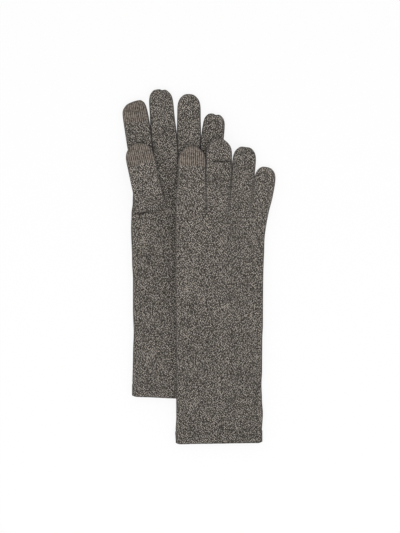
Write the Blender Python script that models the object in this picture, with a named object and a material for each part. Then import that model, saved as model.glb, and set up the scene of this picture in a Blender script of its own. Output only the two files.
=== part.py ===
"""A pair of long knitted gloves with touchscreen fingertips, laid flat one over the other.

Metres, +Z up, fingers along +Y. The left glove lies palm up on the table with its thumb folded over
the palm. The right glove lies palm down, half over the left one, with its thumb tucked underneath.
Each glove is a hollow knitted shell: hem, cuff, hand, four fingers, and a thumb that stands on a
slit across the palm. Every finger is cut at its knuckle, where the fabric folds.
"""

import math
from dataclasses import dataclass

import bmesh
import bpy
from mathutils import Matrix, Vector

MM = 0.001

# Knitted fabric
WALL = 1.4 * MM
HEM_WALL = 1.7 * MM
THUMB_WALL = 1.2 * MM
JOIN_GAP = 0.3 * MM
GLOVE_THICKNESS = 8.4 * MM
THUMB_THICKNESS = 7.2 * MM

# Cuff and hand, from the mouth up to the fingers
HEM_LENGTH = 15.0 * MM
CUFF_LENGTH = 143.0 * MM
CUFF_WIDTH = 97.0 * MM
HAND_LENGTH = 101.0 * MM
FLARE_POWER = 3.0

# Fingers: length, flat width at the base, full flat width, and how far from the base each one folds;
# the full width is reached at a share of the length
INDEX_LENGTH = 67.5 * MM
INDEX_BASE_WIDTH = 27.2 * MM
INDEX_WIDTH = 27.4 * MM
INDEX_KNUCKLE = 23.0 * MM
MIDDLE_LENGTH = 78.2 * MM
MIDDLE_BASE_WIDTH = 25.0 * MM
MIDDLE_WIDTH = 26.8 * MM
MIDDLE_KNUCKLE = 26.0 * MM
RING_LENGTH = 70.6 * MM
RING_BASE_WIDTH = 23.9 * MM
RING_WIDTH = 25.6 * MM
RING_KNUCKLE = 24.0 * MM
LITTLE_LENGTH = 49.0 * MM
LITTLE_BASE_WIDTH = 23.5 * MM
LITTLE_WIDTH = 24.2 * MM
LITTLE_KNUCKLE = 27.0 * MM
WIDEN_SHARE = 0.6

# Fingertips
TIP_ROUND = 15.0 * MM
TIP_LAST_ANGLE = math.radians(74)
WEB_RADIUS = 1.8 * MM
TOUCH_TIP_LENGTH = 22.0 * MM

# Thumb, which stands on a slit across the palm
THUMB_LENGTH = 77.0 * MM
THUMB_BASE_WIDTH = 38.0 * MM
THUMB_WIDTH = 31.5 * MM
THUMB_TAPER = 36.0 * MM
THUMB_BELOW_KNUCKLES = 59.0 * MM
THUMB_BASE_ROUND = 5.0 * MM
SLIT_MARGIN = 5.0 * MM
SLIT_START = 2.2 * MM
SLIT_LENGTH = 12.0 * MM
SLIT_CUT_SPARE = 1.2 * MM

# How the right glove lies on the left one
PAIR_GAP = 6.3 * MM
PAIR_DROP = 54.0 * MM
LEFT_KNUCKLE_SHIFT = -1.8 * MM
RIGHT_KNUCKLE_SHIFT = 3.9 * MM
THUMB_INSET = 3.0 * MM
DRAPE_HOLD = 6.0 * MM
DRAPE_RUN = 20.0 * MM

# How much wider each finger of the right glove lies than the same finger of the left one
RIGHT_BASE_SPREADS = (6.0 * MM, 0.2 * MM, -1.1 * MM, -1.9 * MM)
RIGHT_SPREADS = (2.7 * MM, 1.3 * MM, -0.6 * MM, -0.7 * MM)
NO_SPREADS = (0.0, 0.0, 0.0, 0.0)

# Mesh density
CORNER_STEPS = 3
FINGER_FLAT_STEPS = 2
BODY_FLAT_STEPS = 10
TIP_STEPS = 5
RING_SPACING = 11.0 * MM

# Colours
MARL_GREY = (0.13, 0.118, 0.107, 1)
HEM_GREY = (0.125, 0.113, 0.1, 1)
TOUCH_BROWN = (0.15, 0.128, 0.108, 1)


@dataclass(frozen=True)
class Finger:
    """One finger: its sizes, and how far from its base it folds."""

    name: str
    length: float
    base_width: float
    width: float
    knuckle: float
    touch_tip: bool = False


INDEX = Finger("index", INDEX_LENGTH, INDEX_BASE_WIDTH, INDEX_WIDTH, INDEX_KNUCKLE, touch_tip=True)
MIDDLE = Finger("middle", MIDDLE_LENGTH, MIDDLE_BASE_WIDTH, MIDDLE_WIDTH, MIDDLE_KNUCKLE)
RING = Finger("ring", RING_LENGTH, RING_BASE_WIDTH, RING_WIDTH, RING_KNUCKLE)
LITTLE = Finger("little", LITTLE_LENGTH, LITTLE_BASE_WIDTH, LITTLE_WIDTH, LITTLE_KNUCKLE)
FINGERS = (INDEX, MIDDLE, RING, LITTLE)


@dataclass(frozen=True)
class Lay:
    """How one glove lies: angles in degrees, counter-clockwise seen from above."""

    side: str
    finger_leans: tuple
    base_spreads: tuple
    spreads: tuple
    knuckle_tilt: float
    knuckle_shift: float
    thumb_lean: float


LEFT = Lay("left", finger_leans=(7.4, 5.2, 0.0, -5.5), base_spreads=NO_SPREADS, spreads=NO_SPREADS,
           knuckle_tilt=3.0, knuckle_shift=LEFT_KNUCKLE_SHIFT, thumb_lean=11.5)
RIGHT = Lay("right", finger_leans=(-1.2, -1.4, -5.0, -8.8), base_spreads=RIGHT_BASE_SPREADS,
            spreads=RIGHT_SPREADS, knuckle_tilt=-2.0, knuckle_shift=RIGHT_KNUCKLE_SHIFT, thumb_lean=-2.0)

# The upper glove starts beside the lower glove's thumb, and both thumbs lie on the lower glove.
PAIR_SHIFT = THUMB_INSET + THUMB_BASE_WIDTH + PAIR_GAP
UPPER_OFFSET = Vector((PAIR_SHIFT, -PAIR_DROP, 0))
THUMB_FLOOR = GLOVE_THICKNESS + JOIN_GAP
THUMB_CEILING = THUMB_FLOOR + THUMB_THICKNESS + JOIN_GAP


def smooth(share):
    """0 below 0, 1 above 1, and an even S between them."""
    share = min(1.0, max(0.0, share))
    return share * share * (3 - 2 * share)


def mix(first, second, share):
    return first + (second - first) * share


def heading(degrees):
    """The direction of a finger that leans by this angle."""
    return Vector((-math.sin(math.radians(degrees)), math.cos(math.radians(degrees)), 0))


def stations(start, end):
    """Evenly spaced places from start to end, both included."""
    count = max(1, round(abs(end - start) / RING_SPACING))
    return [mix(start, end, step / count) for step in range(count + 1)]


def tip_stations(end, run):
    """Places that follow a tip's round, closer together towards its end."""
    return [end - run + run * math.sin(TIP_LAST_ANGLE * step / TIP_STEPS) for step in range(1, TIP_STEPS + 1)]


def round_end(distance, run, least=0.0):
    """The share of the full size left at this distance from a rounded end."""
    if distance >= run:
        return 1.0
    share = math.sqrt(max(0.0, 1 - (1 - distance / run) ** 2))
    return mix(least, 1.0, share)


def section(half_width, half_height, radius, flat_steps):
    """A flattened tube's outline: a rounded rectangle as (across, up) points."""
    points = []
    flat = half_width - radius
    for corner in range(4):
        side = 1 if corner in (0, 3) else -1
        lift = 1 if corner in (0, 1) else -1
        for step in range(CORNER_STEPS + 1):
            angle = (corner + step / CORNER_STEPS) * math.pi / 2
            points.append((side * flat + radius * math.cos(angle),
                           lift * (half_height - radius) + radius * math.sin(angle)))
        if corner in (0, 2):
            for step in range(1, flat_steps):
                points.append((side * flat * (1 - 2 * step / flat_steps), lift * half_height))
    return points


def ring_at(centre, turn, half_width, floor, half_height, radius, flat_steps):
    """The outline stood up at a place and turned about Z, in the glove's frame."""
    across = Vector((math.cos(turn), math.sin(turn), 0))
    middle = Vector((centre.x, centre.y, floor + half_height))
    radius = min(radius, 0.98 * half_height, 0.98 * half_width)
    return [middle + across * x + Vector((0, 0, z))
            for x, z in section(half_width, half_height, radius, flat_steps)]


class GloveShape:
    """The sections of one glove in its own frame: wrist centre at the origin, underside at Z 0."""

    def __init__(self, lay):
        self.lay = lay
        along = heading(lay.knuckle_tilt)
        across = Vector((along.y, -along.x, 0))
        self.base_widths = [finger.base_width + more for finger, more in zip(FINGERS, lay.base_spreads)]
        self.widths = [finger.width + more for finger, more in zip(FINGERS, lay.spreads)]
        self.knuckle_width = sum(self.base_widths) + (len(FINGERS) - 1) * JOIN_GAP
        knuckles = Vector((lay.knuckle_shift, HAND_LENGTH, 0)) + along * JOIN_GAP
        start = knuckles - across * self.knuckle_width / 2
        self.finger_bases = []
        for base_width in self.base_widths:
            self.finger_bases.append(start + across * base_width / 2)
            start = start + across * (base_width + JOIN_GAP)

    def flare(self, y):
        return max(0.0, y / HAND_LENGTH) ** FLARE_POWER

    def body_half_width(self, y):
        return mix(CUFF_WIDTH, self.knuckle_width, self.flare(y)) / 2

    def body_centre(self, y):
        return Vector((self.lay.knuckle_shift * self.flare(y), y, 0))

    def body_ring(self, y, inset):
        """Hem, cuff and hand: one flat tube that flares and turns towards the knuckles."""
        half_height = GLOVE_THICKNESS / 2 - inset
        turn = math.radians(self.lay.knuckle_tilt) * self.flare(y)
        return ring_at(self.body_centre(y), turn, self.body_half_width(y) - inset, inset, half_height,
                       half_height, BODY_FLAT_STEPS)

    def finger_centre(self, number, along):
        return self.finger_bases[number] + heading(self.lay.finger_leans[number]) * along

    def finger_turn(self, number, along):
        share = smooth(along / FINGERS[number].knuckle)
        return math.radians(mix(self.lay.knuckle_tilt, self.lay.finger_leans[number], share))

    def finger_ring(self, number, along, inset):
        """A finger, square at its base to close the web and rounded off at its tip."""
        finger = FINGERS[number]
        share = smooth(along / finger.knuckle)
        widened = smooth(along / (WIDEN_SHARE * finger.length))
        to_tip = finger.length - inset - along
        full_height = GLOVE_THICKNESS / 2 - inset
        half_width = mix(self.base_widths[number], self.widths[number], widened) / 2 - inset
        half_height = full_height * round_end(to_tip, full_height)
        return ring_at(self.finger_centre(number, along), self.finger_turn(number, along),
                       half_width * round_end(to_tip, TIP_ROUND - inset), inset + full_height - half_height,
                       half_height, mix(WEB_RADIUS, full_height, share), FINGER_FLAT_STEPS)

    def thumb_centre(self, along):
        y = HAND_LENGTH - THUMB_BELOW_KNUCKLES
        left_edge = self.body_centre(y).x - self.body_half_width(y)
        base = Vector((left_edge + THUMB_INSET + THUMB_BASE_WIDTH / 2, y, 0))
        return base + heading(self.lay.thumb_lean) * along

    def thumb_half_width(self, along):
        return mix(THUMB_BASE_WIDTH, THUMB_WIDTH, smooth(along / THUMB_TAPER)) / 2

    def thumb_ring(self, along, inset):
        """The thumb: a pouch with a blunt base and a round tip, lying on the lower glove."""
        to_tip = THUMB_LENGTH - inset - along
        to_base = along - inset
        full_height = THUMB_THICKNESS / 2 - inset
        half_height = full_height * round_end(to_tip, full_height) * round_end(to_base, full_height, 0.8)
        half_width = self.thumb_half_width(along) - inset
        half_width *= round_end(to_tip, TIP_ROUND - inset) * round_end(to_base, THUMB_BASE_ROUND - inset, 0.8)
        return ring_at(self.thumb_centre(along), math.radians(self.lay.thumb_lean), half_width,
                       THUMB_FLOOR + inset + full_height - half_height, half_height, half_height,
                       FINGER_FLAT_STEPS)


def held_up(past):
    """How much of its height the upper glove keeps this far past the edge of what holds it up."""
    return 1 - smooth((past - DRAPE_HOLD) / DRAPE_RUN)


class Pile:
    """What holds up the upper glove, in the lower glove's frame."""

    def __init__(self, lower, upper):
        self.lower = lower
        self.upper = upper

    def lower_edge(self, y):
        """How far the lower glove reaches to the right."""
        on_hand = min(y, HAND_LENGTH)
        edge = self.lower.body_centre(on_hand).x + self.lower.body_half_width(on_hand)
        sway = max(0.0, heading(self.lower.lay.finger_leans[-1]).x) * LITTLE.length
        swell = (self.lower.widths[-1] - self.lower.base_widths[-1]) / 2
        return edge + (sway + swell) * smooth((y - HAND_LENGTH) / LITTLE.knuckle)

    def over_glove(self, place):
        """Height of the lower glove, falling to the table past its right edge and its mouth."""
        past_edge = place.x - self.lower_edge(place.y)
        past_mouth = -CUFF_LENGTH - HEM_LENGTH - place.y
        return THUMB_FLOOR * held_up(past_edge) * held_up(past_mouth)

    def over_thumb(self, place):
        """Height that the upper glove's tucked thumb adds under its palm."""
        start = self.upper.thumb_centre(0) + UPPER_OFFSET
        line = heading(self.upper.lay.thumb_lean)
        along = min(THUMB_LENGTH - THUMB_WIDTH / 2, max(0.0, (place - start).dot(line)))
        beside = (place - start - line * along).length - self.upper.thumb_half_width(along)
        return (THUMB_THICKNESS + JOIN_GAP) * held_up(beside)

    def height(self, place):
        return self.over_glove(place) + self.over_thumb(place)


class Glove:
    """Makes one glove's pieces as objects under one empty."""

    def __init__(self, shape, offset, pile, yarns, parts, cutters, pair):
        self.shape = shape
        self.side = shape.lay.side
        self.offset = offset
        self.pile = pile
        self.yarns = yarns
        self.parts = parts
        self.cutters = cutters
        self.root = bpy.data.objects.new(f"{self.side}_glove", None)
        self.root.location = offset
        self.root.parent = pair
        parts.objects.link(self.root)

    def settle(self, ring):
        """Lays a ring on what is under it; without a pile that is the table."""
        if self.pile is None:
            return ring
        return [point + Vector((0, 0, self.pile.height(Vector((point.x, point.y, 0)) + self.offset)))
                for point in ring]

    def fold_pivot(self, centre, turn, ring):
        """The fold line on top of a ring, where a fold opens and never presses its sides together."""
        top = max(point.z for point in self.settle(ring))
        return Matrix.Translation((centre.x, centre.y, top)) @ Matrix.Rotation(turn, 4, "Z")

    def shell(self, name, outer, inner, yarn, closed_end=False, pivot=None):
        """A knitted shell lofted through its outer and inner rings, listed from its open end."""
        rings = inner[::-1] + outer
        mesh = bmesh.new()
        rows = [[mesh.verts.new(point) for point in ring] for ring in rings]
        pairs = list(zip(rows, rows[1:]))
        if closed_end:
            mesh.faces.new(rows[0])
            mesh.faces.new(rows[-1])
        else:
            pairs.append((rows[-1], rows[0]))
        for low, high in pairs:
            for number in range(len(low)):
                after = (number + 1) % len(low)
                mesh.faces.new((low[number], low[after], high[after], high[number]))
        bmesh.ops.recalc_face_normals(mesh, faces=mesh.faces)
        pivot = pivot or Matrix.Identity(4)
        bmesh.ops.transform(mesh, matrix=pivot.inverted(), verts=mesh.verts)
        data = bpy.data.meshes.new(name)
        mesh.to_mesh(data)
        mesh.free()
        data.materials.append(self.yarns[yarn])
        made = bpy.data.objects.new(name, data)
        made.parent = self.root
        made.matrix_local = pivot
        self.parts.objects.link(made)
        return made

    def body_piece(self, name, places, wall, yarn, pivot=None):
        outer = [self.settle(self.shape.body_ring(y, 0)) for y in places]
        inner = [self.settle(self.shape.body_ring(y, wall)) for y in places]
        return self.shell(f"{self.side}_{name}", outer, inner, yarn, pivot=pivot)

    def body(self):
        """Hem, cuff and hand, with a gap at the wrist and at the hem."""
        wrist = self.fold_pivot(Vector((0, 0, 0)), 0, self.shape.body_ring(0, 0))
        hem_places = stations(-CUFF_LENGTH - HEM_LENGTH, -CUFF_LENGTH - JOIN_GAP)
        self.body_piece("hem", hem_places, HEM_WALL, "hem", wrist)
        self.body_piece("cuff", stations(-CUFF_LENGTH, -JOIN_GAP), WALL, "marl", wrist)
        return self.body_piece("hand", stations(0, HAND_LENGTH), WALL, "marl")

    def finger_piece(self, number, name, start, end, yarn, pivot, closed_end=False):
        finger = FINGERS[number]
        outer_places = stations(start, end)
        inner_places = outer_places
        if closed_end:
            outer_places = stations(start, finger.length - TIP_ROUND)
            inner_places = outer_places + tip_stations(finger.length - WALL, TIP_ROUND - WALL)
            outer_places = outer_places + tip_stations(finger.length, TIP_ROUND)
        outer = [self.settle(self.shape.finger_ring(number, along, 0)) for along in outer_places]
        inner = [self.settle(self.shape.finger_ring(number, along, WALL)) for along in inner_places]
        return self.shell(f"{self.side}_{finger.name}_{name}", outer, inner, yarn, closed_end, pivot)

    def finger(self, number):
        """Lower length, upper length and, on the index finger, the touch tip."""
        finger = FINGERS[number]
        shape = self.shape
        base = self.fold_pivot(shape.finger_centre(number, 0), shape.finger_turn(number, 0),
                               shape.finger_ring(number, 0, 0))
        knuckle = self.fold_pivot(shape.finger_centre(number, finger.knuckle),
                                  shape.finger_turn(number, finger.knuckle),
                                  shape.finger_ring(number, finger.knuckle, 0))
        half = JOIN_GAP / 2
        self.finger_piece(number, "lower", 0, finger.knuckle - half, "marl", base)
        if finger.touch_tip:
            join = finger.length - TOUCH_TIP_LENGTH
            self.finger_piece(number, "upper", finger.knuckle + half, join - half, "marl", knuckle)
            self.finger_piece(number, "touch_tip", join + half, finger.length, "touch", knuckle,
                              closed_end=True)
        else:
            self.finger_piece(number, "upper", finger.knuckle + half, finger.length, "marl", knuckle,
                              closed_end=True)

    def thumb(self, palm_height):
        """The thumb pouch and its touch tip; they turn about the slit's lower edge on the palm."""
        shape = self.shape
        base = shape.thumb_centre(0)
        pivot = Matrix.Translation((base.x, base.y, palm_height)) @ Matrix.Rotation(
            math.radians(shape.lay.thumb_lean), 4, "Z")
        half = JOIN_GAP / 2
        join = THUMB_LENGTH - TOUCH_TIP_LENGTH
        down = stations(join - half, THUMB_BASE_ROUND)
        blunt = (0.5, 0.2, 0.0)
        outer = down + [THUMB_BASE_ROUND * share for share in blunt]
        inner = down + [mix(THUMB_WALL, THUMB_BASE_ROUND, share) for share in blunt]
        pouch = self.shell(f"{self.side}_thumb", [shape.thumb_ring(along, 0) for along in outer],
                           [shape.thumb_ring(along, THUMB_WALL) for along in inner], "marl", True, pivot)
        up = stations(join + half, THUMB_LENGTH - TIP_ROUND)
        outer = up + tip_stations(THUMB_LENGTH, TIP_ROUND)
        inner = up + tip_stations(THUMB_LENGTH - THUMB_WALL, TIP_ROUND - THUMB_WALL)
        self.shell(f"{self.side}_thumb_touch_tip", [shape.thumb_ring(along, 0) for along in outer],
                   [shape.thumb_ring(along, THUMB_WALL) for along in inner], "touch", True, pivot)
        return pouch

    def slit(self, hand, pouch, palm_height):
        """Cuts the slit through the palm's wall and the thumb's wall that lies on it."""
        mesh = bmesh.new()
        bmesh.ops.create_cube(mesh, size=1.0)
        size = (THUMB_BASE_WIDTH - 2 * SLIT_MARGIN, SLIT_LENGTH, 2 * (WALL + JOIN_GAP + SLIT_CUT_SPARE))
        bmesh.ops.scale(mesh, vec=size, verts=mesh.verts)
        data = bpy.data.meshes.new(f"{self.side}_slit_cutter")
        mesh.to_mesh(data)
        mesh.free()
        cutter = bpy.data.objects.new(f"{self.side}_slit_cutter", data)
        centre = self.shape.thumb_centre(SLIT_START + SLIT_LENGTH / 2)
        cutter.location = (centre.x, centre.y, palm_height)
        cutter.rotation_euler = (0, 0, math.radians(self.shape.lay.thumb_lean))
        cutter.parent = self.root
        cutter.hide_render = True
        cutter.display_type = "WIRE"
        self.cutters.objects.link(cutter)
        for cut in (hand, pouch):
            modifier = cut.modifiers.new("thumb slit", "BOOLEAN")
            modifier.operation = "DIFFERENCE"
            modifier.solver = "EXACT"
            modifier.object = cutter

    def make(self, palm_height):
        hand = self.body()
        for number in range(len(FINGERS)):
            self.finger(number)
        self.slit(hand, self.thumb(palm_height), palm_height)


def make_yarn(name, colour):
    """A dull yarn."""
    yarn = bpy.data.materials.new(name)
    yarn.use_nodes = True
    shader = yarn.node_tree.nodes["Principled BSDF"]
    shader.inputs["Base Color"].default_value = colour
    shader.inputs["Roughness"].default_value = 0.9
    shader.inputs["Metallic"].default_value = 0.0
    yarn.diffuse_color = colour
    return yarn


def make_collection(name):
    made = bpy.data.collections.new(name)
    bpy.context.scene.collection.children.link(made)
    return made


def centre_on_table(pair, parts):
    """Puts the middle of the pair's footprint on the origin."""
    bpy.context.view_layer.update()
    corners = [item.matrix_world @ Vector(corner)
               for item in parts.objects if item.type == "MESH" for corner in item.bound_box]
    low = Vector([min(corner[axis] for corner in corners) for axis in range(3)])
    high = Vector([max(corner[axis] for corner in corners) for axis in range(3)])
    pair.location = (-(low.x + high.x) / 2, -(low.y + high.y) / 2, 0)
    bpy.context.view_layer.update()


def main():
    for item in list(bpy.data.objects):
        bpy.data.objects.remove(item)
    parts = make_collection("touchscreen_gloves")
    cutters = make_collection("cutters")
    pair = bpy.data.objects.new("pair", None)
    parts.objects.link(pair)
    yarns = {
        "marl": make_yarn("grey_marl_knit", MARL_GREY),
        "hem": make_yarn("grey_marl_hem", HEM_GREY),
        "touch": make_yarn("conductive_knit", TOUCH_BROWN),
    }
    lower = GloveShape(LEFT)
    upper = GloveShape(RIGHT)
    Glove(lower, Vector((0, 0, 0)), None, yarns, parts, cutters, pair).make(THUMB_FLOOR - JOIN_GAP)
    Glove(upper, UPPER_OFFSET, Pile(lower, upper), yarns, parts, cutters, pair).make(THUMB_CEILING)
    centre_on_table(pair, parts)


main()
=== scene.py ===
"""Dresses a pair of long knitted gloves with touchscreen fingertips.

The left glove lies palm up on the table with its thumb folded over the palm. The right glove lies
palm down, half over the left one, with its thumb tucked underneath. Each glove is modelled as one
cage, from cuff to fingertips, rounded by subdivision, pressed into its creases, laid on what is
under it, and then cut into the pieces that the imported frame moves. Metres, +Z up, fingers along +Y.
"""

from __future__ import annotations

import logging
import math
from collections.abc import Callable, Sequence
from dataclasses import dataclass, field
from enum import Enum

import bmesh
import bpy
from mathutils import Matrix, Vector, noise

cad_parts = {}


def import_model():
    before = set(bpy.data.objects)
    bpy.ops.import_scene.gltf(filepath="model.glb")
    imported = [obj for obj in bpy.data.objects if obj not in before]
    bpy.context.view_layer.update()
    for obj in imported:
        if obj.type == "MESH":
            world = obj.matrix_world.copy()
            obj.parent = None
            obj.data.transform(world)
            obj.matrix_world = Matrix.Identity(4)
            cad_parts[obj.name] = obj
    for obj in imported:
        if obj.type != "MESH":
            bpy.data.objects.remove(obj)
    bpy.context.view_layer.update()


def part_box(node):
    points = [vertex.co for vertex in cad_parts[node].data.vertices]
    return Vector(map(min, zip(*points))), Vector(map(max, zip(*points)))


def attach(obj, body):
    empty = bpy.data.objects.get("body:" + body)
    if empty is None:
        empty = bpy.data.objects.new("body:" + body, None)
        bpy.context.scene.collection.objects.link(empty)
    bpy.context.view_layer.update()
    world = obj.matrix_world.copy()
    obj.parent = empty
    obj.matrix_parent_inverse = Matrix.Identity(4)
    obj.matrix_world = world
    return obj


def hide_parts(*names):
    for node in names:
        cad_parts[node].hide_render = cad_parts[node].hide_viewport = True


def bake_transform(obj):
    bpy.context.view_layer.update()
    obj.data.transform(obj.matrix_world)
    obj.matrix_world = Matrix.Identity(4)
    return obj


LOG = logging.getLogger("gloves")
MM = 0.001
PHOTO_SIZE = (400, 533)
PHOTO_SCALE = 1.1 * MM
KNIT = "knit"

WALL = 1.3 * MM
HEM_WALL = 1.6 * MM
THICKNESS = 8.4 * MM
REST_GAP = 0.3 * MM
EDGE = 2.6 * MM
EDGE_SPARE = 0.11 * MM


class Side(Enum):
    """Which hand a glove is for."""

    LEFT = "left"
    RIGHT = "right"


class Yarn(Enum):
    """The record's finishes."""

    MARL = "grey_marl_knit"
    HEM = "grey_marl_hem"
    TOUCH = "conductive_knit"


def smooth(share: float) -> float:
    """Gives 0 below 0, 1 above 1, and an even S between them."""
    share = min(1.0, max(0.0, share))
    return share * share * (3 - 2 * share)


def mix(first: float, second: float, share: float) -> float:
    """Goes from first to second as share goes from 0 to 1."""
    return first + (second - first) * share


def bell(distance: float, width: float) -> float:
    """Gives 1 at no distance and fades to nothing over a few widths."""
    return math.exp(-((distance / width) ** 2))


def along_knots(knots: Sequence[tuple[float, float]], place: float) -> float:
    """Reads a value between knots of (place, value), with an even S from each to the next."""
    before = knots[0]
    for knot in knots:
        if place < knot[0]:
            if knot is before:
                break
            return mix(before[1], knot[1], smooth((place - before[0]) / (knot[0] - before[0])))
        before = knot
    return before[1]


def heading(degrees: float) -> Vector:
    """Gives the direction of a finger that leans by this angle to the left."""
    return Vector((-math.sin(math.radians(degrees)), math.cos(math.radians(degrees)), 0))


def sideways(degrees: float) -> Vector:
    """Gives the direction across a finger that leans by this angle to the left."""
    return Vector((math.cos(math.radians(degrees)), math.sin(math.radians(degrees)), 0))


@dataclass(frozen=True)
class Tip:
    """How a fingertip ends: how blunt it is, its slant, and a notch beside its middle."""

    blunt: float = 0.0
    slant: float = 0.0
    notch: float = 0.0
    notch_at: float = 0.0


@dataclass(frozen=True)
class TipRing:
    """A section near a fingertip's end: its distance from the end, and its shares of width and height."""

    back: float
    round_width: float
    blunt_width: float
    height: float


TIP_RINGS = (
    TipRing(14.0 * MM, 1.0, 1.0, 1.0),
    TipRing(8.2 * MM, 0.905, 0.985, 0.97),
    TipRing(4.0 * MM, 0.71, 0.91, 0.86),
    TipRing(1.4 * MM, 0.44, 0.72, 0.64),
)


@dataclass(frozen=True)
class Finger:
    """One finger as it lies: its sizes, its fold from its base, and its lean to the left in degrees."""

    name: str
    length: float
    base_width: float
    width: float
    fold: float
    lean: float
    touch: float = 0.0
    tip: Tip = Tip()


@dataclass(frozen=True)
class Crease:
    """A line pressed into the fabric, deepest at its start, with painted shade along it; it may fade out towards its
    end.
    """

    start: Vector
    end: Vector
    width: float
    depth: float
    shade: float
    fade: float = 1.0

    def press(self, place: Vector) -> float:
        """Gives how much of the crease reaches a place, 0 to 1."""
        line = self.end - self.start
        flat = Vector((place.x, place.y, 0))
        share = (flat - self.start).dot(line) / line.length_squared
        kept = min(1.0, max(0.0, share))
        away = (flat - self.start - line * kept).length
        return bell(away, self.width) * (1 - self.fade * smooth(share))


@dataclass(frozen=True)
class Lay:
    """How a glove lies, in degrees to the left and metres.

    Each line gives the painted shade on a seam between two fingers, at their bases and further up,
    as a factor on the painted edge shade; below 0 it is painted light. The painted lights are painted
    light: how much paler each finger and the thumb are painted than the hand. The cuff shade is how
    much darker the cuff is. The edges are places along the glove, with how far its outline moves there.
    """

    side: Side
    fingers: tuple[Finger, Finger, Finger, Finger]
    tilt: float
    shift: float
    thumb_lean: float
    # Painted shade on each seam between fingers, at the base and further up; below 0 painted light.
    lines: tuple[tuple[float, float], ...]
    # Painted light on each finger and the thumb.
    painted_lights: tuple[float, float, float, float, float]
    cuff_shade: float
    hem_rise: tuple[float, float]
    left_edge: tuple[tuple[float, float], ...]
    right_edge: tuple[tuple[float, float], ...] = ((0.0, 0.0),)


LEFT_LAY = Lay(
    Side.LEFT,
    fingers=(
        Finger("index", 66.9 * MM, 27.0 * MM, 27.8 * MM, 23 * MM, 8.2, 22 * MM, Tip(0.7, slant=2.6 * MM)),
        Finger("middle", 78.8 * MM, 26.4 * MM, 26.6 * MM, 26 * MM, 5.2, tip=Tip(0.45, -0.9 * MM, 1.0 * MM, 2.5 * MM)),
        Finger("ring", 71.8 * MM, 23.0 * MM, 25.6 * MM, 24 * MM, 0.1, tip=Tip(0.22, -0.3 * MM)),
        Finger("little", 49.0 * MM, 24.4 * MM, 24.2 * MM, 27 * MM, -5.5, tip=Tip(0.65, -0.7 * MM, 1.1 * MM, 1.0 * MM)),
    ),
    tilt=3.0,
    shift=-0.8 * MM,
    thumb_lean=12.2,
    # Painted shade on the seams between fingers.
    lines=((1.8, 2.4), (1.8, 2.4), (1.8, 2.2)),
    # Painted light on each finger and the thumb.
    painted_lights=(0.04, 0.0, 0.08, 0.04, 0.16),
    cuff_shade=0.04,
    hem_rise=(-1.8 * MM, -6.2 * MM),
    left_edge=(
        (-0.147, -0.3 * MM),
        (-0.114, 0.4 * MM),
        (-0.089, 1.2 * MM),
        (-0.064, 0.4 * MM),
        (-0.031, 0.4 * MM),
        (-0.010, -0.6 * MM),
        (0.026, -1.7 * MM),
        (0.042, -1.0 * MM),
        (0.054, 0.6 * MM),
        (0.066, 1.2 * MM),
        (0.085, 0.0 * MM),
    ),
)
RIGHT_LAY = Lay(
    Side.RIGHT,
    fingers=(
        Finger("index", 68.0 * MM, 33.2 * MM, 30.1 * MM, 23 * MM, -1.2, 22 * MM, Tip(-0.3)),
        Finger("middle", 77.6 * MM, 25.2 * MM, 28.1 * MM, 26 * MM, -1.4, tip=Tip(-0.3, -0.9 * MM)),
        Finger("ring", 69.3 * MM, 22.8 * MM, 25.0 * MM, 24 * MM, -5.6, tip=Tip(0.4, 0.0, 0.4 * MM)),
        Finger("little", 48.0 * MM, 21.6 * MM, 23.5 * MM, 27 * MM, -8.8, tip=Tip(0.45, -0.5 * MM)),
    ),
    tilt=-2.0,
    shift=3.9 * MM,
    thumb_lean=-2.0,
    # Painted shade on the seams between fingers; below 0 painted light.
    lines=((0.0, 1.6), (0.5, 1.2), (-0.4, 0.0)),
    # Painted light on each finger and the thumb.
    painted_lights=(0.16, 0.03, 0.06, 0.14, 0.0),
    cuff_shade=0.10,
    hem_rise=(-0.3 * MM, 1.1 * MM),
    left_edge=(
        (-0.156, 0.6 * MM),
        (-0.144, 0.0 * MM),
        (-0.128, 0.9 * MM),
        (-0.100, 0.9 * MM),
        (-0.040, 0.5 * MM),
        (0.040, 0.2 * MM),
        (0.090, 0.0 * MM),
    ),
    right_edge=(
        (-0.142, -1.3 * MM),
        (-0.126, -0.4 * MM),
        (-0.109, -1.4 * MM),
        (-0.093, -2.0 * MM),
        (-0.076, -1.3 * MM),
        (-0.043, -1.1 * MM),
        (-0.025, -0.3 * MM),
        (0.050, -0.1 * MM),
        (0.072, -1.0 * MM),
        (0.098, -0.8 * MM),
    ),
)


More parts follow.
